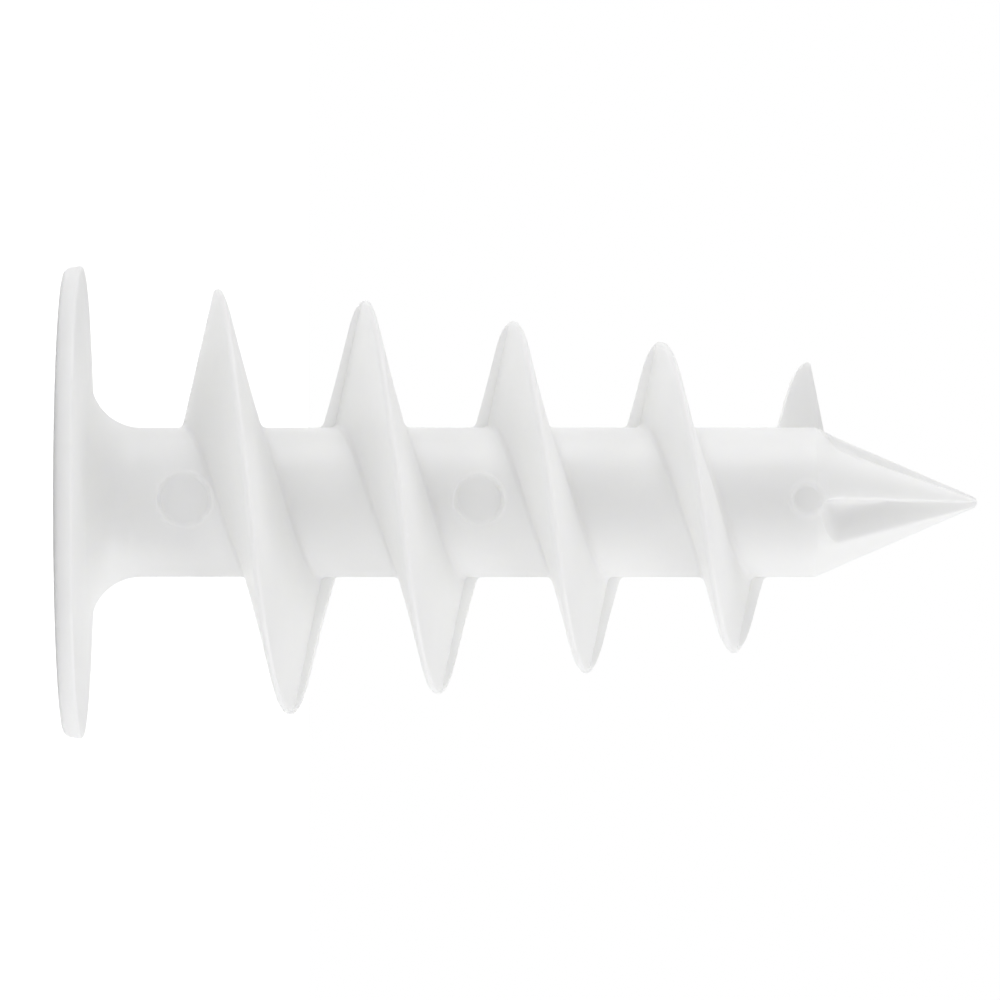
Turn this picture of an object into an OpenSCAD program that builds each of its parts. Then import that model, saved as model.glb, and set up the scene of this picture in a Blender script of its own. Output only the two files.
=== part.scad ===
// Spiral insulation anchor, moulded in one piece.
// It stands on its head: the flat outer face lies at z = 0 and the point is up.
// The mould opens along Y, so its parting plane is the XZ plane.

/* [Anchor] */
// Length from the head's outer face to the end of the point
anchor_length = 50; // [45:1:70]
// Diameter of the shank
shank_d = 8.2; // [7.6:0.1:9]

/* [Head] */
// Diameter of the head at its widest
head_d = 26; // [20:0.5:30]
// Thickness of the head at its rim
rim_t = 1; // [0.8:0.05:2]
// Lean of the rim, narrower at the outer face
rim_draft = 10; // [0:1:15]
// Slope of the head's inner face, thicker towards the shank
face_slope = 3.7; // [1:0.1:6]
// Rounding of the edge round the outer face
outer_edge_r = 0.35; // [0.1:0.05:0.4]
// Rounding of the edge round the inner face
inner_edge_r = 0.18; // [0.05:0.01:0.3]
// Fillet between the head and the shank
head_fillet_r = 2.8; // [1:0.1:3]

/* [Spiral] */
// Advance of the spiral in one turn
pitch = 8.1; // [7:0.1:9]
// Number of half turns
half_turns = 8; // [4:1:8]
// Height of the spiral's crest where it starts, above the outer face
spiral_start = 8.3; // [7.5:0.1:10]
// Largest diameter of the spiral, which its first stretch keeps
spiral_d = 23.4; // [18:0.1:25]
// Diameter of the spiral where it ends
spiral_end_d = 15.4; // [12:0.1:16]
// Diameter that the taper reaches when it is drawn back to the start
taper_d = 24.4; // [23.4:0.1:26]
// Width of the crest
crest_w = 0.42; // [0.4:0.02:0.8]
// Height of the rounding on the crest
crest_round = 0.25; // [0.1:0.05:0.4]
// Width at the shank where the spiral starts
root_w_start = 3.75; // [3:0.05:4.5]
// Width at the shank where the spiral ends
root_w_end = 1.75; // [1.4:0.05:2.5]

/* [Point] */
// Angle of the point, from side to side
point_angle = 47; // [40:1:60]
// Radius of the blunt end
tip_r = 0.35; // [0.2:0.05:0.8]
// Number of cutting flutes round the point
flutes = 4; // [2:1:4]
// Lean of a flute's floor to the axis
flute_angle = 18.9; // [14:0.1:20]
// Distance past the end of the point at which the floors would meet
flute_reach = 0.33; // [0.2:0.01:0.6]
// Distance from the foot of the cone to the start of a flute's floor
flute_setback = 0.95; // [0.8:0.05:3]
// Lean of the wall that closes a flute at its start
flute_end_angle = 34; // [10:1:50]

/* [Drive] */
// Distance across the lobes of the six-lobed recess
drive_d = 6.75; // [5.6:0.05:6.9]
// Distance across the hollows between the lobes
drive_inner_d = 4.85; // [4:0.05:5]
// Radius at the top of a lobe
lobe_r = 0.57; // [0.4:0.01:0.6]
// Depth of the recess
drive_depth = 8; // [5:0.5:12]
// Diameter of the hole for the screw, below the recess
bore_d = 3.6; // [3:0.1:4]
// Depth of the hole for the screw, from the outer face
bore_depth = 38; // [20:1:39]

/* [Hidden] */
$fn = 96;
// Angle between two sections of the spiral
section_step = 10;
// Number of flats between two radii on each flank
flank_steps = 6;
// How deep the spiral's foot is sunk into the shank
foot_sink = 0.4;
// How much deeper the middle of the spiral's foot lies
keel = 0.15;
// Overlap of a cutting solid past the face that it cuts
cut_over = 1;
// How far a rounding's arc crosses the lines that it joins
arc_lap = 0.001;
// Points on the arc at the top of a lobe, and in the hollow beside it
lobe_steps = 6;

shank_r = shank_d / 2;
head_r = head_d / 2;
half_point = point_angle / 2;
apex_z = anchor_length + tip_r * (1 / sin(half_point) - 1);
cone_z = apex_z - shank_r / tan(half_point);

// Centre of the arc, of radius r, that rounds the corner between two lines
// with the outward normals a and b. A negative r fills an inner corner.
function arc_centre(corner, a, b, r) = corner - r * (a + b) / (1 + a * b);

rim_normal = [cos(rim_draft), -sin(rim_draft)];
face_normal = [sin(face_slope), cos(face_slope)];
cone_normal = [cos(half_point), sin(half_point)];
face_at_shank = rim_t + (head_r - shank_r) * tan(face_slope);
outer_corner = [head_r - rim_t * tan(rim_draft), 0];
outer_arc = arc_centre(outer_corner, rim_normal, [0, -1], outer_edge_r);
inner_arc = arc_centre([head_r, rim_t], rim_normal, face_normal, inner_edge_r);
fillet_arc = arc_centre([shank_r, face_at_shank], face_normal, [1, 0], -head_fillet_r);
tip_arc = [0, apex_z - tip_r / sin(half_point)];
tip_edge = tip_arc + tip_r * cone_normal;

// Half of the lengthwise section, from the axis outwards
module half_section() {
    difference() {
        union() {
            polygon([
                [0, 0],
                [outer_arc.x, 0],
                outer_arc + outer_edge_r * rim_normal,
                inner_arc + inner_edge_r * rim_normal,
                inner_arc + inner_edge_r * face_normal,
                fillet_arc - head_fillet_r * face_normal,
                fillet_arc - [head_fillet_r, 0],
                [shank_r, cone_z],
                tip_edge,
                [0, tip_edge.y]
            ]);
            translate(outer_arc + [0, arc_lap]) circle(outer_edge_r + arc_lap);
            translate(inner_arc) circle(inner_edge_r + arc_lap);
            intersection() {
                translate(tip_arc - [0, arc_lap]) circle(tip_r + arc_lap);
                translate([0, tip_arc.y]) square(2 * tip_r);
            }
        }
        translate(fillet_arc) circle(head_fillet_r + arc_lap);
    }
}

// Head, shank and plain cone, turned round the axis
module blank() {
    rotate_extrude() half_section();
}

turn_angle = half_turns * 180;

// Radius of the crest: level at first, and then on a cone
function crest_r(turn) =
    min(spiral_d, taper_d + (spiral_end_d - taper_d) * turn / turn_angle) / 2;
function root_w(turn) =
    root_w_start + (root_w_end - root_w_start) * turn / turn_angle;
function flank_top(turn) = crest_r(turn) - crest_round;
function flank_slope(turn) =
    (root_w(turn) - crest_w) / 2 / (flank_top(turn) - shank_r);
// Half the spiral's width at radius r
function half_width(turn, r) =
    crest_w / 2 + (flank_top(turn) - r) * flank_slope(turn);

// A flank that leans away from the mould's opening can't leave the mould, so it
// is filled along Y down to the parting plane. The part of the flank that casts
// the fill furthest lies at this radius, for a place at the distance x from the
// plane that holds the axis and the opening direction.
function casting_r(turn, r, x) =
    let (k = pitch * 180 / PI / 360 * x / flank_slope(turn))
    max(r, min(flank_top(turn), sqrt((x * x + sqrt(pow(x, 4) + 4 * k * k)) / 2)));

// Half width of a filled flank, at the angle past the parting plane
function filled_width(turn, r, past) =
    let (x = r * cos(past), far = casting_r(turn, r, x))
    pitch * (acos(x / far) - past) / 360 + half_width(turn, far);

// The tip side is filled in the first quarter after the parting plane
function tip_side(turn, r, past) =
    past < 90 ? filled_width(turn, r, past) : half_width(turn, r);
// and the head side in the last quarter before the next
function head_side(turn, r, past) =
    past > 90 ? filled_width(turn, r, 180 - past) : half_width(turn, r);

// Closed outline of the spiral's section, as points of radius and height: up the
// head side, over the rounded crest, down the tip side, and a keel in the shank
function section_points(turn, past) =
    let (
        foot = shank_r - foot_sink,
        top = flank_top(turn),
        z = spiral_start + pitch * turn / 360,
        radii = [for (i = [0 : flank_steps]) foot + (top - foot) * i / flank_steps]
    )
    concat(
        [for (r = radii) [r, z - head_side(turn, r, past)]],
        [for (a = [-45, 0, 45]) [top + crest_round * cos(a), z + crest_w / 2 * sin(a)]],
        [for (i = [flank_steps : -1 : 0]) [radii[i], z + tip_side(turn, radii[i], past)]],
        [[foot - keel, z]]
    );

// The start lies on the parting plane, at -X, and the spiral turns to -Y from there
function placed(points, turn) =
    [for (p = points) [-p.x * cos(turn), -p.x * sin(turn), p.y]];

// Flat end of the spiral: pairs of points at one radius, the crest and the keel
function end_faces(first, count) = concat(
    [for (i = [0 : flank_steps - 1])
        [first + i, first + i + 1, first + count - 3 - i, first + count - 2 - i]],
    [[for (i = [flank_steps : count - 2 - flank_steps]) first + i]],
    [[first, first + count - 2, first + count - 1]]
);
function reversed(face) = [for (i = [len(face) - 1 : -1 : 0]) face[i]];

// The parting planes have two sections each, with a flat step between them
module spiral() {
    sections = [
        for (half = [0 : half_turns - 1], past = [0 : section_step : 180])
            placed(section_points(half * 180 + past, past), half * 180 + past)
    ];
    count = len(sections[0]);
    last = len(sections) - 1;
    polyhedron(
        points = [for (s = sections, p = s) p],
        faces = concat(
            [for (face = end_faces(0, count)) reversed(face)],
            [for (s = [0 : last - 1], i = [0 : count - 1])
                let (a = s * count, b = a + count, j = (i + 1) % count)
                each [[a + i, a + j, b + i], [a + j, b + j, b + i]]],
            end_faces(last * count, count)
        ),
        convexity = 10
    );
}

floor_z = cone_z + flute_setback;
floor_r = (anchor_length + flute_reach - floor_z) * tan(flute_angle);
flute_out = shank_r + cut_over;
flute_top = anchor_length + cut_over;

// One flute: a flat cutting wall through the axis and a flat floor beside it
module flute() {
    rotate([90, 0, 0])
        linear_extrude(flute_out)
            polygon([
                [-floor_r, floor_z],
                [-flute_out, floor_z - (flute_out - floor_r) * tan(flute_end_angle)],
                [-flute_out, flute_top],
                [(cut_over - flute_reach) * tan(flute_angle), flute_top]
            ]);
}

// Outline of the recess: rounded lobes with round hollows between them
hollow_r = (pow(drive_d / 2 - lobe_r, 2) + pow(drive_inner_d / 2, 2)
    - (drive_d / 2 - lobe_r) * drive_inner_d * cos(30) - pow(lobe_r, 2))
    / (2 * lobe_r - drive_inner_d + 2 * (drive_d / 2 - lobe_r) * cos(30));
lobe_centre = drive_d / 2 - lobe_r;
hollow_centre = drive_inner_d / 2 + hollow_r;
meet = atan2(hollow_centre * sin(30), hollow_centre * cos(30) - lobe_centre);

function lobe_outline() = [
    for (k = [0 : 5]) each concat(
        [for (i = [-lobe_steps : lobe_steps])
            let (a = 60 * k, b = a + meet * i / lobe_steps)
            lobe_centre * [cos(a), sin(a)] + lobe_r * [cos(b), sin(b)]],
        [for (i = [-lobe_steps + 1 : lobe_steps - 1])
            let (a = 60 * k + 30, b = a + 180 - (meet - 30) * i / lobe_steps)
            hollow_centre * [cos(a), sin(a)] + hollow_r * [cos(b), sin(b)]]
    )
];

module drive_recess() {
    translate([0, 0, -cut_over])
        linear_extrude(drive_depth + cut_over) polygon(lobe_outline());
}

module screw_bore() {
    cylinder(h = bore_depth, d = bore_d);
}

module anchor() {
    color("whitesmoke") difference() {
        union() {
            blank();
            spiral();
        }
        for (k = [0 : flutes - 1]) rotate(360 * k / flutes) flute();
        drive_recess();
        screw_bore();
    }
}

anchor();
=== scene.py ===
"""Spiral insulation anchor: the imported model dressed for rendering.

The anchor is one plastic moulding, so one piece replaces the one CAD node. It is a closed skin with the CAD
model's form and sizes, and it adds what a moulding has: rounded roots and edges, flutes with filleted
corners, and ejector marks. The anchor's sizes are in millimetres until its mesh is made. The studio's and
the camera's are in metres.
"""

from math import acos, atan2, cos, degrees, exp, hypot, pi, radians, sin, sqrt, tan

import bmesh
import bpy
from mathutils import Matrix, Vector


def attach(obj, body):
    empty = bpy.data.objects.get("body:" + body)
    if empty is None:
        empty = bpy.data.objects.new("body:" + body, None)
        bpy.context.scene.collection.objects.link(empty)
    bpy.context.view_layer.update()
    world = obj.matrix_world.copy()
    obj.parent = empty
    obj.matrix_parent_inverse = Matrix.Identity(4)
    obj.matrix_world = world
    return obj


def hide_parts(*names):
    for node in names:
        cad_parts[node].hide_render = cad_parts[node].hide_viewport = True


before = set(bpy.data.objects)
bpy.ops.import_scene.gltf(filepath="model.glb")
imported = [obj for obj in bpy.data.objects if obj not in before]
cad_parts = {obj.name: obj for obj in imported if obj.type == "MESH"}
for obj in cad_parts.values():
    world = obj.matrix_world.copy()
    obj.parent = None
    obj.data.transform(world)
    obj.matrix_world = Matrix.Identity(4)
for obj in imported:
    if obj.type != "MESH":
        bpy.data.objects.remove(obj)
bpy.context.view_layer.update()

MM = 0.001

# Sizes of the CAD model
LENGTH = 50.0
SHANK_R = 4.1
HEAD_R = 13.0
RIM_T = 1.0
RIM_DRAFT = radians(10)
FACE_SLOPE = radians(3.7)
OUTER_EDGE_R = 0.35
INNER_EDGE_R = 0.18
HEAD_FILLET_R = 2.8
PITCH = 8.1
TURNS = 4
SPIRAL_START = 8.3
SPIRAL_R = 11.7
SPIRAL_END_R = 7.7
TAPER_R = 12.2
CREST_W = 0.42
CREST_ROUND = 0.25
ROOT_W_START = 3.75
ROOT_W_END = 1.75
HALF_POINT = radians(23.5)
TIP_R = 0.35
FLUTE_ANGLE = radians(18.9)
FLUTE_REACH = 0.33
FLUTE_SETBACK = 0.95
FLUTE_END_ANGLE = radians(34)
DRIVE_R = 3.375
DRIVE_INNER_R = 2.425
LOBE_R = 0.57
DRIVE_DEPTH = 8.0
BORE_R = 1.8
BORE_DEPTH = 38.0

# The point's cone, with its rounded end, and the height at which the flutes' floors start
APEX_Z = LENGTH + TIP_R * (1 / sin(HALF_POINT) - 1)
CONE_Z = APEX_Z - SHANK_R / tan(HALF_POINT)
TIP_ARC_Z = LENGTH - TIP_R
CONE_END_Z = TIP_ARC_Z + TIP_R * sin(HALF_POINT)
FLUTE_FLOOR_Z = CONE_Z + FLUTE_SETBACK

# Detail that the moulding adds: fillets and edges of the spiral, the bore and the recess
ROOT_FILLET = 0.3
BORE_EDGE = 0.2
MOUTH_CHAMFER = 0.18
# The root's fillet on the tip's side falls to this share over the last part of a turn, before a flute starts
ROOT_FILLET_LEFT = 0.15
ROOT_FILLET_RUNOUT = 0.06

# Roundings of the flutes: between the end wall and the floor, along the floor's edge on the cone, between the
# cutting wall and the floor, and along a rib. The last two are larger where the flute starts, over a length.
FLOOR_FILLET = 0.4
FLOOR_EDGE = 0.15
CORNER_FILLET = 0.06
CORNER_START_FILLET = 0.5
CORNER_START_STRETCH = 1.4
CORNER_START_LENGTH = 2.6
RIB_ROUND = 0.1
RIB_START_ROUND = 0.14
RIB_START_LENGTH = 4
# The most that they take of the cutting wall's height, of the floor's half width and of the cone's radius
CORNER_OF_WALL = 0.6
CORNER_OF_FLOOR = 0.4
CORNER_WIDTH_OF_FLOOR = 0.55
EDGE_OF_WALL = 0.3
EDGE_OF_FLOOR = 0.2
RIB_OF_WALL = 0.35
RIB_OF_RADIUS = 0.3
LEAST_ROUND = 1e-6

# Columns round one quarter of the anchor, in degrees. The first and the last lie on the quarter's planes.
COLUMNS = [0, 0.6] + [3 * k for k in range(1, 30)] + [89.4, 90]
LAST = len(COLUMNS) - 1
# The columns of the flute: its corner fillet ends at one, and its floor at the other
FILLET_COLUMN = 5
FLOOR_COLUMN = 14
RIB_COLUMNS = 5
EDGE_COLUMNS = 2

# Rows along a section
FACE_SHARES = (0.15, 0.4, 0.7)
SLOPE_SHARES = (0.05, 0.3, 0.6, 0.9)
FILLET_ROWS = 6
FLANK_ROWS = 14
CREST_BENDS = (-68, -45, -22, 0, 22, 45, 68)
WALL_ROWS = 9
CONE_ROWS = 18
TIP_ROWS = [49.86, 49.93, 49.975]
# The first row of the point lies this far above the spiral's end, and at least this far below the flutes
FIRST_ROW_RISE = 0.02
FIRST_ROW_DROP = 0.03

ROOT_TRIES = 12
HALVINGS = 40
WELD = 2e-7
SHARP_ANGLE = radians(32)

# Ejector pins' marks on the side that faces the camera: height, radius of the flat, outer radius, level of the
# flat along Y, and the half width and height of the raised lip round it
EJECTOR_MARKS = [
    (6.68, 1.26, 1.5, -3.82, 0.07, 0.04),
    (22.71, 1.16, 1.38, -3.83, 0.07, 0.035),
    (40.56, 0.66, 0.86, -3.97, 0.12, 0.05),
]
# The step of the grid that is cut round each mark. In half widths of the lip: how far the grid reaches past the
# mark, and how far outside the mark's edge the lip is highest
MARK_STEP = 0.045
MARK_REACH = 3
LIP_PLACE = 0.6
# Only faces on the shank's front are cut: beyond this Y, and not further from the axis than the shank and this
FRONT_Y = -3
SHANK_MARGIN = 0.1
CUT_WELD = 1e-7


def blend(a, b, t):
    return a + (b - a) * t


def spaced(a, b, count):
    """count values from a to b, both included."""
    return [blend(a, b, k / (count - 1)) for k in range(count)]


def arc(centre, r, start, end, count):
    """Points on an arc, from one angle to another in degrees."""
    bends = [radians(a) for a in spaced(start, end, count)]
    return [(centre[0] + r * cos(b), centre[1] + r * sin(b)) for b in bends]


def bend_weights(t):
    """Weights of a soft corner's start, corner and end, t of the way along it."""
    return (1 - t) ** 2, 2 * t * (1 - t), t * t


def direction(angle):
    """The way out from the axis at an angle in degrees: -X at 0, towards the camera at 90."""
    return -cos(radians(angle)), -sin(radians(angle))


# Recess, bore and head


def arc_centre(corner, a, b, r):
    """Centre of the arc of radius r in the corner between two lines with the outward normals a and b."""
    k = r / (1 + a[0] * b[0] + a[1] * b[1])
    return corner[0] - k * (a[0] + b[0]), corner[1] - k * (a[1] + b[1])


# The recess's outline: an arc round each lobe and one round each hollow, 30 degrees on, that touches it
HALF_LOBE = radians(30)
LOBE_CENTRE = DRIVE_R - LOBE_R
HOLLOW_R = (
    LOBE_CENTRE**2 + DRIVE_INNER_R**2 - 2 * LOBE_CENTRE * DRIVE_INNER_R * cos(HALF_LOBE) - LOBE_R**2
) / (2 * LOBE_R - 2 * DRIVE_INNER_R + 2 * LOBE_CENTRE * cos(HALF_LOBE))
HOLLOW_CENTRE = DRIVE_INNER_R + HOLLOW_R
ARCS_MEET = atan2(HOLLOW_CENTRE * sin(HALF_LOBE), HOLLOW_CENTRE * cos(HALF_LOBE) - LOBE_CENTRE)


def lobe_point(angle, grow):
    """Point (x, y) on the six-lobed outline, widened by grow, for a column at this angle."""
    lobe = round(angle / 60)
    off = angle - 60 * lobe
    side = 1 if off >= 0 else -1
    share = abs(off) / 30
    if share <= 0.5:
        bend = ARCS_MEET * share / 0.5
        u = LOBE_CENTRE + (LOBE_R + grow) * cos(bend)
        v = (LOBE_R + grow) * sin(bend)
    else:
        bend = pi - (ARCS_MEET - HALF_LOBE) * (1 - share) / 0.5
        a = HOLLOW_CENTRE + (HOLLOW_R - grow) * cos(bend)
        b = (HOLLOW_R - grow) * sin(bend)
        u = a * cos(HALF_LOBE) + b * sin(HALF_LOBE)
        v = a * sin(HALF_LOBE) - b * cos(HALF_LOBE)
    ux, uy = direction(60 * lobe)
    vx, vy = direction(60 * lobe + 90)
    return ux * u + side * vx * v, uy * u + side * vy * v


RIM_NORMAL = (cos(RIM_DRAFT), -sin(RIM_DRAFT))
FACE_NORMAL = (sin(FACE_SLOPE), cos(FACE_SLOPE))
OUTER_ARC = arc_centre((HEAD_R - RIM_T * tan(RIM_DRAFT), 0), RIM_NORMAL, (0, -1), OUTER_EDGE_R)
INNER_ARC = arc_centre((HEAD_R, RIM_T), RIM_NORMAL, FACE_NORMAL, INNER_EDGE_R)
HEAD_FILLET_ARC = arc_centre(
    (SHANK_R, RIM_T + (HEAD_R - SHANK_R) * tan(FACE_SLOPE)), FACE_NORMAL, (1, 0), -HEAD_FILLET_R
)
SHANK_Z = HEAD_FILLET_ARC[1]


def hollow_points(angle):
    """From the bottom of the bore out through the recess to the edge of the outer face."""
    ux, uy = direction(angle)
    bore = [(0, BORE_DEPTH)]
    bore += arc((BORE_R - BORE_EDGE, BORE_DEPTH - BORE_EDGE), BORE_EDGE, 90, 0, 4)
    bore += [(BORE_R, z) for z in spaced(BORE_DEPTH - 1, DRIVE_DEPTH + BORE_EDGE, 8)]
    bore += [(BORE_R + BORE_EDGE, DRIVE_DEPTH)]
    points = [(ux * r, uy * r, z) for r, z in bore]
    wall = [(-BORE_EDGE, DRIVE_DEPTH), (0, DRIVE_DEPTH - BORE_EDGE)]
    wall += [(0, z) for z in spaced(DRIVE_DEPTH - 1, 1, 4)]
    wall += [(0, MOUTH_CHAMFER), (MOUTH_CHAMFER * 0.6, MOUTH_CHAMFER * 0.3), (MOUTH_CHAMFER, 0)]
    points += [lobe_point(angle, grow) + (z,) for grow, z in wall]
    mouth = lobe_point(angle, MOUTH_CHAMFER)
    for share in FACE_SHARES:
        x = blend(mouth[0], ux * OUTER_ARC[0], share)
        y = blend(mouth[1], uy * OUTER_ARC[0], share)
        points.append((x, y, 0))
    return points


def head_profile():
    """(radius, height) from the edge of the outer face to the end of the fillet on the shank."""
    draft = degrees(RIM_DRAFT)
    slope = degrees(FACE_SLOPE)
    rim = arc(OUTER_ARC, OUTER_EDGE_R, -90, -draft, 7)
    edge = arc(INNER_ARC, INNER_EDGE_R, -draft, 90 - slope, 6)
    fillet = arc(HEAD_FILLET_ARC, HEAD_FILLET_R, 270 - slope, 180, 15)
    middle = [(blend(rim[-1][0], edge[0][0], 0.5), blend(rim[-1][1], edge[0][1], 0.5))]
    start, end = edge[-1], fillet[0]
    face = [(blend(start[0], end[0], t), blend(start[1], end[1], t)) for t in SLOPE_SHARES]
    return rim + middle + edge + face + fillet


# Spiral


def cone_r(z):
    """Radius of the plain point, with its rounded end."""
    if z > CONE_END_Z:
        return sqrt(max(TIP_R**2 - (z - TIP_ARC_Z) ** 2, 0))
    return (APEX_Z - z) * tan(HALF_POINT)


def core_r(z):
    """Radius of the shank and the plain point."""
    return min(SHANK_R, cone_r(z))


def flank_top(turn):
    """Radius at which the flanks end and the crest's rounding starts."""
    return min(SPIRAL_R, blend(TAPER_R, SPIRAL_END_R, turn / TURNS)) - CREST_ROUND


def flank_slope(turn):
    """Height that a flank gains for each step towards the axis."""
    return (blend(ROOT_W_START, ROOT_W_END, turn / TURNS) - CREST_W) / 2 / (flank_top(turn) - SHANK_R)


def half_width(turn, r):
    return CREST_W / 2 + (flank_top(turn) - r) * flank_slope(turn)


def filled_width(turn, r, past):
    """Half width of a flank that the mould's opening direction has filled, past degrees after its plane."""
    x = r * cos(radians(past))
    k = PITCH / (2 * pi) * x / flank_slope(turn)
    far = max(r, min(flank_top(turn), sqrt((x * x + sqrt(x**4 + 4 * k * k)) / 2)))
    return PITCH * (degrees(acos(min(1, x / far))) - past) / 360 + half_width(turn, far)


def flank_z(turn, r, past, side):
    """Height of a flank at radius r: side is -1 towards the head and 1 towards the tip."""
    reach = past if side > 0 else 180 - past
    width = filled_width(turn, r, reach) if reach < 90 else half_width(turn, r)
    return SPIRAL_START + PITCH * turn + side * width


def root_fillet(turn, side):
    """Radius of the fillet at a flank's root, which runs out before the spiral's end."""
    if side < 0:
        return ROOT_FILLET
    return ROOT_FILLET * max(ROOT_FILLET_LEFT, min(1, (TURNS - turn) / ROOT_FILLET_RUNOUT))


def flank(turn, past, side):
    """(radius, height) from the core, over the root's fillet, up to the crest."""
    fillet = root_fillet(turn, side)
    root = SHANK_R
    for _ in range(ROOT_TRIES):
        root = core_r(flank_z(turn, root, past, side))
    corner = flank_z(turn, root, past, side)
    foot = corner + side * fillet
    start = root + fillet
    points = []
    for t in spaced(0, 1, FILLET_ROWS):
        a, b, c = bend_weights(t)
        z = a * foot + b * corner + c * flank_z(turn, start, past, side)
        points.append((a * core_r(foot) + b * root + c * start, z))
    for t in spaced(1, 0, FLANK_ROWS)[1:]:
        r = blend(flank_top(turn), start, t * t)
        points.append((r, flank_z(turn, r, past, side)))
    return points


def tooth(turn, past):
    """(radius, height) across the spiral, from the foot on the head's side to the foot on the tip's side."""
    z = SPIRAL_START + PITCH * turn
    crest = [
        (flank_top(turn) + CREST_ROUND * cos(radians(a)), z + CREST_W / 2 * sin(radians(a)))
        for a in CREST_BENDS
    ]
    return flank(turn, past, -1) + crest + flank(turn, past, 1)[::-1]


FIRST_TOOTH = tooth(0, 0)
LAST_TOOTH = tooth(TURNS, 180)
# The block of points that each tooth's slot takes: two on the shank before it, and its outline
BLOCK = len(FIRST_TOOTH) + 2


def gap_shares(turn):
    """Where the feet of the steps on a parting plane lie in the gap between this turn's tooth and the next.

    The first is the share of the gap just before the plane at which the lower tooth's wider foot stands. The
    second is the share of the gap just after the plane at which the upper tooth's wider foot stood.
    """
    low_before, high_before = tooth(turn, 180)[-1][1], tooth(turn + 1, 180)[0][1]
    low_after, high_after = tooth(turn, 0)[-1][1], tooth(turn + 1, 0)[0][1]
    return (
        (low_after - low_before) / (high_before - low_before),
        (high_before - low_after) / (high_after - low_after),
    )


GAP_SHARES = {half / 2: gap_shares(half / 2) for half in range(2 * TURNS - 1)}


def shank_profile(angle, past, on_seam):
    """(radius, height) along the shank and the spiral's teeth, at an angle from 0 to 360.

    There are slots for six teeth. The first stands for the start of the spiral at 360 degrees, and the last for
    its end at 0 degrees. Both lie flat on the core, and away from the seam they shrink into the head's fillet
    and the foot of the point.
    """
    turn = angle / 360
    half_start = (angle - past) / 360
    teeth = [tooth(turn + k, past) for k in range(TURNS)]

    high = teeth[0][0][1]
    end_high = tooth(1, 180)[0][1]
    flat = [blend(SHANK_Z, high, turn * (z - SHANK_Z) / (end_high - SHANK_Z)) for _, z in FIRST_TOOTH]
    slots = [[(SHANK_R, z) for z in flat]] + teeth

    low = teeth[-1][-1][1]
    start_low = tooth(TURNS - 1, 0)[-1][1]
    foot_z = LAST_TOOTH[-1][1]
    high = foot_z if on_seam else max(CONE_Z, low)
    flat = [blend(low, high, blend((z - start_low) / (foot_z - start_low), 1, turn)) for _, z in LAST_TOOTH]
    slots.append([(core_r(z), z) for z in flat])

    points = []
    low = SHANK_Z
    for k, slot in enumerate(slots):
        high = slot[0][1]
        shares = (0, 1)
        if 2 <= k <= TURNS:
            after = GAP_SHARES[half_start + k - 2][1]
            before = GAP_SHARES[half_start + k - 1.5][0]
            shares = (before * past / 180, blend(after, 1, past / 180))
        for share in shares:
            z = blend(low, high, share)
            points.append((core_r(z), z))
        points += slot
        low = slot[-1][1]
    return points


# Point with its four flutes


def flute_bottom(z):
    """Distance of a flute's floor and end wall from the axis plane, with a rounded corner between them."""
    floor = (LENGTH + FLUTE_REACH - z) * tan(FLUTE_ANGLE)
    floor_start = (LENGTH + FLUTE_REACH - FLUTE_FLOOR_Z) * tan(FLUTE_ANGLE)
    wall = floor_start + (FLUTE_FLOOR_Z - z) / tan(FLUTE_END_ANGLE)
    overlap = max(FLOOR_FILLET - abs(floor - wall), 0) / FLOOR_FILLET
    return max(floor, wall) + overlap**2 * FLOOR_FILLET / 4


WALL_END_Z = FLUTE_FLOOR_Z + FLOOR_FILLET / (1 / tan(FLUTE_END_ANGLE) - tan(FLUTE_ANGLE))


def flute_start(z, length):
    """1 where the flute starts, falling to 0 over the length."""
    return max(0, 1 - (z - WALL_END_Z) / length)


def rib_points(r, rounding):
    """(u, v) round a rib's edge, from the cone to its cutting wall, and the angle at which the edge starts."""
    centre = sqrt((r - rounding) ** 2 - rounding**2)
    lean = atan2(rounding, centre)
    bends = spaced(pi / 2 - lean, pi, RIB_COLUMNS + 1)
    return [(rounding * (1 + cos(b)), centre + rounding * sin(b)) for b in bends], pi / 2 - lean


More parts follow.
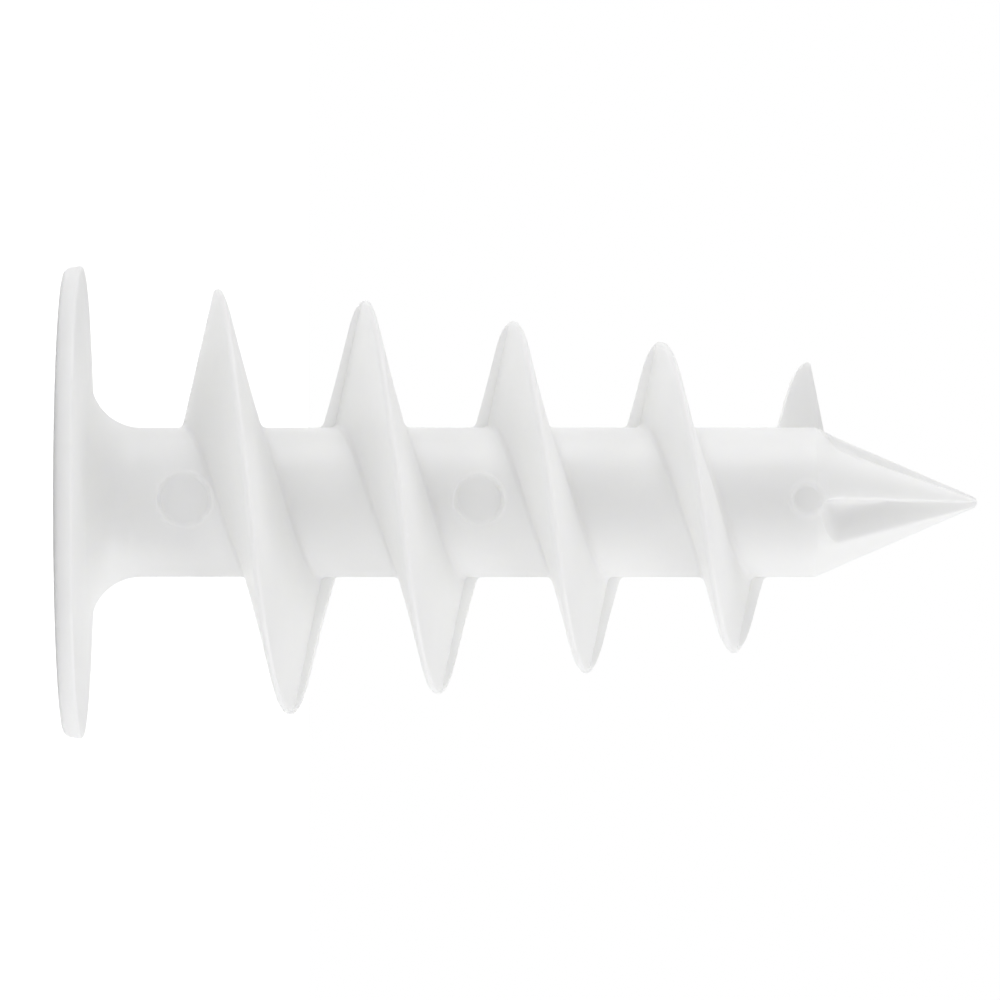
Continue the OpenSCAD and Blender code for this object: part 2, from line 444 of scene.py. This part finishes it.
def quarter_section(z, share=1.0, floor_angle=None):
    """(u, v) for each column on one quarter of the point, u and v being the quarter's two planes.

    The share scales the roundings, and the angle is that of the edge between the floor and the cone.
    """
    r = cone_r(z)
    bottom = min(flute_bottom(z), r)
    room = r - bottom
    half_floor = sqrt(max(r * r - bottom * bottom, 0))

    start = flute_start(z, CORNER_START_LENGTH)
    fillet = CORNER_FILLET + CORNER_START_FILLET * start
    fillet = min(fillet, CORNER_OF_WALL * room, CORNER_OF_FLOOR * half_floor)
    width = min(fillet * (1 + CORNER_START_STRETCH * start), CORNER_WIDTH_OF_FLOOR * half_floor)
    points = []
    for i in range(FILLET_COLUMN + 1):
        bend = pi / 2 * i / FILLET_COLUMN
        points.append((bottom + fillet * (1 - sin(bend)), width * (1 - cos(bend))))

    edge = max(min(FLOOR_EDGE, EDGE_OF_WALL * room, EDGE_OF_FLOOR * half_floor) * share, LEAST_ROUND)
    for v in spaced(width, half_floor - edge, FLOOR_COLUMN - EDGE_COLUMNS - FILLET_COLUMN + 1)[1:]:
        points.append((bottom, v))

    rounding = RIB_ROUND + RIB_START_ROUND * flute_start(z, RIB_START_LENGTH)
    rounding = max(min(rounding, RIB_OF_WALL * room) * share, LEAST_ROUND)
    rib, end = rib_points(r, min(rounding, RIB_OF_RADIUS * r))

    angle = floor_angle or atan2(half_floor, bottom)
    past = angle + edge / r
    u, v = r * cos(angle), r * sin(angle)
    for t in spaced(0, 1, 2 * EDGE_COLUMNS + 1)[1:-1]:
        a, b, c = bend_weights(t)
        points.append(((a + b) * u + c * r * cos(past), a * (v - edge) + b * v + c * r * sin(past)))
    for a in spaced(past, end, LAST - RIB_COLUMNS - FLOOR_COLUMN - EDGE_COLUMNS + 1):
        points.append((r * cos(a), r * sin(a)))
    return points + rib[1:]


def on_cone_z(v, off):
    """Height at which the end wall, moved off from its place, meets the cone at v."""
    low, high = CONE_Z, WALL_END_Z
    for _ in range(HALVINGS):
        z = (low + high) / 2
        if hypot(flute_bottom(z) + off, v) > cone_r(z):
            low = z
        else:
            high = z
    return high


FLOOR_START = quarter_section(WALL_END_Z)
FLOOR_START_ANGLE = atan2(FLOOR_START[FLOOR_COLUMN][1], FLOOR_START[FLOOR_COLUMN][0])
# The height at which each column leaves the cone: up the end wall, and past the floor on a slope back down
WALL_START_Z = [on_cone_z(v, u - flute_bottom(WALL_END_Z)) for u, v in FLOOR_START[: FLOOR_COLUMN + 1]]
WALL_START_Z += spaced(WALL_START_Z[FLOOR_COLUMN], WALL_START_Z[0], LAST - FLOOR_COLUMN + 1)[1:]


def point_column(i):
    """(u, v, z) up one column of the point, from the end of the shank's profile to the tip."""
    lowest = min(WALL_START_Z) if 0 < i <= FLOOR_COLUMN else WALL_START_Z[i]
    z = min(LAST_TOOTH[-1][1] + FIRST_ROW_RISE, lowest - FIRST_ROW_DROP)
    angle = radians(COLUMNS[i])
    points = [(cone_r(z) * cos(angle), cone_r(z) * sin(angle), z)]
    for level in spaced(0, 1, WALL_ROWS)[:-1]:
        z = blend(WALL_START_Z[i], WALL_END_Z, level)
        if i <= FLOOR_COLUMN:
            u, v = FLOOR_START[i]
            points.append((flute_bottom(z) + u - flute_bottom(WALL_END_Z), v, z))
        else:
            points.append(quarter_section(z, level, FLOOR_START_ANGLE)[i] + (z,))
    for z in spaced(WALL_END_Z, CONE_END_Z, CONE_ROWS) + TIP_ROWS:
        points.append(quarter_section(z)[i] + (z,))
    points.append((0, 0, LENGTH))
    return points


# Skin


def section(quarter, i):
    """All the points of one lengthwise section, from the bottom of the bore to the tip."""
    angle = 90 * quarter + COLUMNS[i]
    past = angle - 180 * (quarter // 2)
    ux, uy = direction(angle)
    shank = shank_profile(angle, past, quarter == 0 and i == 0 or quarter == 3 and i == LAST)
    profile = head_profile() + shank
    points = hollow_points(angle) + [(ux * r, uy * r, z) for r, z in profile]
    ax, ay = direction(90 * quarter)
    bx, by = direction(90 * quarter + 90)
    return points + [(ax * u + bx * v, ay * u + by * v, z) for u, v, z in point_column(i)]


def moulding_mesh():
    """The closed skin, in metres. On the seam a tooth's slot is left out, so that the spiral climbs."""
    sections = [section(quarter, i) for quarter in range(4) for i in range(LAST + 1)]
    mesh = bmesh.new()
    rows = [[mesh.verts.new([c * MM for c in p]) for p in points] for points in sections]
    lower_end = len(hollow_points(0)) + len(head_profile())
    upper_start = len(sections[0]) - len(point_column(0))
    after = rows[0][:lower_end] + rows[0][lower_end + BLOCK :]
    before = rows[-1][: upper_start - BLOCK] + rows[-1][upper_start:]
    for row, following in list(zip(rows, rows[1:])) + [(before, after)]:
        for corners in zip(row, row[1:], following[1:], following):
            mesh.faces.new(corners)
    bmesh.ops.remove_doubles(mesh, verts=mesh.verts, dist=WELD)
    bmesh.ops.delete(mesh, geom=[v for v in mesh.verts if not v.link_faces], context="VERTS")
    if mesh.calc_volume(signed=True) < 0:
        bmesh.ops.reverse_faces(mesh, faces=mesh.faces)
    data = bpy.data.meshes.new("anchor_moulding")
    mesh.to_mesh(data)
    mesh.free()
    return data


def near_mark(face, height, reach):
    """Whether a face lies on the shank's front, within reach of a mark at this height."""
    places = [v.co / MM for v in face.verts]
    if any(p.y > FRONT_Y or hypot(p.x, p.y) > SHANK_R + SHANK_MARGIN for p in places):
        return False
    xs, zs = [p.x for p in places], [p.z - height for p in places]
    return min(xs) < reach and max(xs) > -reach and min(zs) < reach and max(zs) > -reach


def press_marks(data):
    """Presses the ejector pins' marks into the shank: a flat disc, a sloping side and a low lip round it."""
    mesh = bmesh.new()
    mesh.from_mesh(data)
    for height, flat_r, outer_r, level, lip_w, lip_h in EJECTOR_MARKS:
        reach = outer_r + MARK_REACH * lip_w
        # The keys of a dictionary keep their order, so each run cuts the same way
        geometry = {}
        for face in mesh.faces:
            if near_mark(face, height, reach):
                geometry.update(dict.fromkeys((face, *face.edges, *face.verts)))
        steps = round(2 * reach / MARK_STEP) + 1
        for across, middle in ((Vector((0, 0, 1)), height), (Vector((1, 0, 0)), 0)):
            for off in spaced(middle - reach, middle + reach, steps):
                cut = bmesh.ops.bisect_plane(
                    mesh, geom=list(geometry), dist=CUT_WELD, plane_co=across * off * MM, plane_no=across
                )
                geometry.update(dict.fromkeys(cut["geom"]))
        for v in geometry:
            if isinstance(v, bmesh.types.BMVert):
                d = hypot(v.co.x / MM, v.co.z / MM - height)
                t = min(1, max(0, (outer_r - d) / (outer_r - flat_r)))
                sunk = max(0, level - v.co.y / MM) * t * t * (3 - 2 * t)
                lip = lip_h * exp(-(((d - outer_r - LIP_PLACE * lip_w) / lip_w) ** 2))
                v.co.y += (sunk - lip) * MM
    mesh.to_mesh(data)
    mesh.free()


# Finish

NYLON_DARK = (0.94, 0.942, 0.934, 1)
NYLON_LIGHT = (0.96, 0.96, 0.952, 1)
NYLON_IOR = 1.5
NYLON_ROUGHNESS = (0.36, 0.5)
# Light spreads under the surface over about a millimetre
SPREAD = 0.0012
SPREAD_BY_COLOUR = (1.0, 1.0, 0.95)
# Scale and detail of the noise in the colour, in the gloss and in the surface's fine grain, per metre
COLOUR_NOISE = (420, 3)
GLOSS_NOISE = (900, 4)
GRAIN_NOISE = (5200, 4)
GRAIN_STRENGTH = 0.25
GRAIN_DEPTH = 0.00002
# The part of the noise's range that is used
NOISE_RANGE = (0.3, 0.7)


def nylon():
    """Natural white plastic as moulded: satin, slightly translucent, with a faint flow texture."""
    material = bpy.data.materials.new("natural_nylon")
    material.use_nodes = True
    nodes, links = material.node_tree.nodes, material.node_tree.links
    shader = nodes["Principled BSDF"]
    shader.inputs["IOR"].default_value = NYLON_IOR
    shader.inputs["Subsurface Weight"].default_value = 1.0
    shader.inputs["Subsurface Radius"].default_value = SPREAD_BY_COLOUR
    shader.inputs["Subsurface Scale"].default_value = SPREAD
    coordinates = nodes.new("ShaderNodeTexCoord")

    def noise(scale, detail):
        node = nodes.new("ShaderNodeTexNoise")
        node.inputs["Scale"].default_value = scale
        node.inputs["Detail"].default_value = detail
        links.new(coordinates.outputs["Object"], node.inputs["Vector"])
        return node.outputs["Fac"]

    def mapped(value, low, high):
        node = nodes.new("ShaderNodeMapRange")
        node.inputs["From Min"].default_value, node.inputs["From Max"].default_value = NOISE_RANGE
        node.inputs["To Min"].default_value = low
        node.inputs["To Max"].default_value = high
        links.new(value, node.inputs["Value"])
        return node.outputs["Result"]

    clouding = nodes.new("ShaderNodeMix")
    clouding.data_type = "RGBA"
    # A colour mix has its factor at 0, its colours at 6 and 7, and its result at 2
    clouding.inputs[6].default_value = NYLON_DARK
    clouding.inputs[7].default_value = NYLON_LIGHT
    links.new(mapped(noise(*COLOUR_NOISE), 0, 1), clouding.inputs[0])
    links.new(clouding.outputs[2], shader.inputs["Base Color"])
    links.new(mapped(noise(*GLOSS_NOISE), *NYLON_ROUGHNESS), shader.inputs["Roughness"])
    grain = nodes.new("ShaderNodeBump")
    grain.inputs["Strength"].default_value = GRAIN_STRENGTH
    grain.inputs["Distance"].default_value = GRAIN_DEPTH
    links.new(noise(*GRAIN_NOISE), grain.inputs["Height"])
    links.new(grain.outputs["Normal"], shader.inputs["Normal"])
    return material


anchor = bpy.data.objects.new("anchor_moulding", moulding_mesh())
bpy.context.collection.objects.link(anchor)
anchor.data.shade_smooth()
anchor.data.set_sharp_from_angle(angle=SHARP_ANGLE)
press_marks(anchor.data)
anchor.data.materials.append(nylon())
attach(anchor, "root")
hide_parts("anchor")

# Studio

WHITE = (1, 1, 1, 1)
WORLD_LIGHT = 0.425

SHEET_HALF = 0.6
SHEET_OPENING_R = 0.012
SHEET_Z = -0.00002
SHEET_POINTS = 64
SHEET_COLOUR = (0.94, 0.94, 0.94, 1)
SHEET_ROUGHNESS = 0.8
# What the camera sees of the sheet: a steady glow, and a part that the light and the shadow change
SHEET_GLOW = 0.8
SHEET_LIT = (0.7, 0.7, 0.7, 1)

# Square softboxes, all turned to the anchor's middle: name, place and power in watts
SOFTBOX = 0.4
MIDDLE = (0, 0, 0.025)
SOFTBOXES = [
    ("left_softbox", (-0.686, -0.14, 0.025), 2.0),
    ("right_softbox", (0.7, 0, 0.025), 0.6),
    ("right_front_softbox", (0.495, -0.495, 0.025), 0.8),
    ("left_high_softbox", (-0.495, 0, 0.52), 0.95),
    ("right_high_softbox", (0.495, 0, 0.52), 1.6),
]


def white_where_seen(tree, shader, white):
    """Mixes the shader with the white one for camera, glossy and transmission rays."""
    nodes, links = tree.nodes, tree.links
    path = nodes.new("ShaderNodeLightPath")
    total = path.outputs["Is Camera Ray"]
    for name in ("Is Glossy Ray", "Is Transmission Ray"):
        either = nodes.new("ShaderNodeMath")
        either.operation = "MAXIMUM"
        links.new(total, either.inputs[0])
        links.new(path.outputs[name], either.inputs[1])
        total = either.outputs[0]
    mix = nodes.new("ShaderNodeMixShader")
    links.new(total, mix.inputs["Fac"])
    links.new(shader, mix.inputs[1])
    links.new(white, mix.inputs[2])
    return mix.outputs[0]


def studio_world():
    world = bpy.data.worlds.new("studio")
    world.use_nodes = True
    tree = world.node_tree
    light = tree.nodes["Background"]
    light.inputs["Color"].default_value = WHITE
    light.inputs["Strength"].default_value = WORLD_LIGHT
    white = tree.nodes.new("ShaderNodeBackground")
    white.inputs["Color"].default_value = WHITE
    seen = white_where_seen(tree, light.outputs[0], white.outputs[0])
    tree.links.new(seen, tree.nodes["World Output"].inputs["Surface"])
    bpy.context.scene.world = world


def sheet_material():
    """White wherever the camera sees it, apart from the anchor's shadow."""
    material = bpy.data.materials.new("floor")
    material.use_nodes = True
    tree = material.node_tree
    plain = tree.nodes["Principled BSDF"]
    plain.inputs["Base Color"].default_value = SHEET_COLOUR
    plain.inputs["Roughness"].default_value = SHEET_ROUGHNESS
    glow = tree.nodes.new("ShaderNodeEmission")
    glow.inputs["Strength"].default_value = SHEET_GLOW
    lit = tree.nodes.new("ShaderNodeBsdfDiffuse")
    lit.inputs["Color"].default_value = SHEET_LIT
    both = tree.nodes.new("ShaderNodeAddShader")
    tree.links.new(glow.outputs[0], both.inputs[0])
    tree.links.new(lit.outputs[0], both.inputs[1])
    seen = white_where_seen(tree, plain.outputs[0], both.outputs[0])
    tree.links.new(seen, tree.nodes["Material Output"].inputs["Surface"])
    return material


def floor():
    """A square sheet just below the head, open under it, so that the recess shows from below."""
    around = [(cos(a), sin(a)) for a in spaced(0, 2 * pi, SHEET_POINTS + 1)[:-1]]
    points = [(SHEET_OPENING_R * x, SHEET_OPENING_R * y, SHEET_Z) for x, y in around]
    for x, y in around:
        reach = SHEET_HALF / max(abs(x), abs(y))
        points.append((reach * x, reach * y, SHEET_Z))
    pairs = [(k, (k + 1) % SHEET_POINTS) for k in range(SHEET_POINTS)]
    data = bpy.data.meshes.new("floor")
    data.from_pydata(points, [], [(k, SHEET_POINTS + k, SHEET_POINTS + after, after) for k, after in pairs])
    data.materials.append(sheet_material())
    obj = bpy.data.objects.new("floor", data)
    bpy.context.collection.objects.link(obj)


def softbox(name, place, power):
    data = bpy.data.lights.new(name, "AREA")
    data.shape = "SQUARE"
    data.size = SOFTBOX
    data.energy = power
    obj = bpy.data.objects.new(name, data)
    obj.location = place
    obj.rotation_euler = (Vector(MIDDLE) - Vector(place)).to_track_quat("-Z", "Y").to_euler()
    bpy.context.collection.objects.link(obj)


studio_world()
floor()
for row in SOFTBOXES:
    softbox(*row)

# Camera. The photograph has the anchor lying on its side: the head is at the left, and -X is up.

CAMERA_DISTANCE = 0.475
CAMERA_UP = 0.000126
CAMERA_TURN = radians(2.45)
CAMERA_Z = 0.02385
CAMERA_CLIP = (0.01, 10)
VIEW_WIDTH = 0.05482
SENSOR = 36

camera_data = bpy.data.cameras.new("camera")
camera_data.sensor_width = SENSOR
camera_data.lens = SENSOR * CAMERA_DISTANCE / VIEW_WIDTH
camera_data.clip_start, camera_data.clip_end = CAMERA_CLIP
camera = bpy.data.objects.new("camera", camera_data)
up = Vector((-cos(CAMERA_TURN), -sin(CAMERA_TURN), 0))
back = Vector((sin(CAMERA_TURN), -cos(CAMERA_TURN), 0))
place = CAMERA_UP * up + CAMERA_DISTANCE * back + Vector((0, 0, CAMERA_Z))
camera.matrix_world = Matrix.Translation(place) @ Matrix((Vector((0, 0, 1)), up, back)).transposed().to_4x4()
bpy.context.collection.objects.link(camera)
bpy.context.scene.camera = camera
bpy.context.scene.view_settings.view_transform = "Standard"
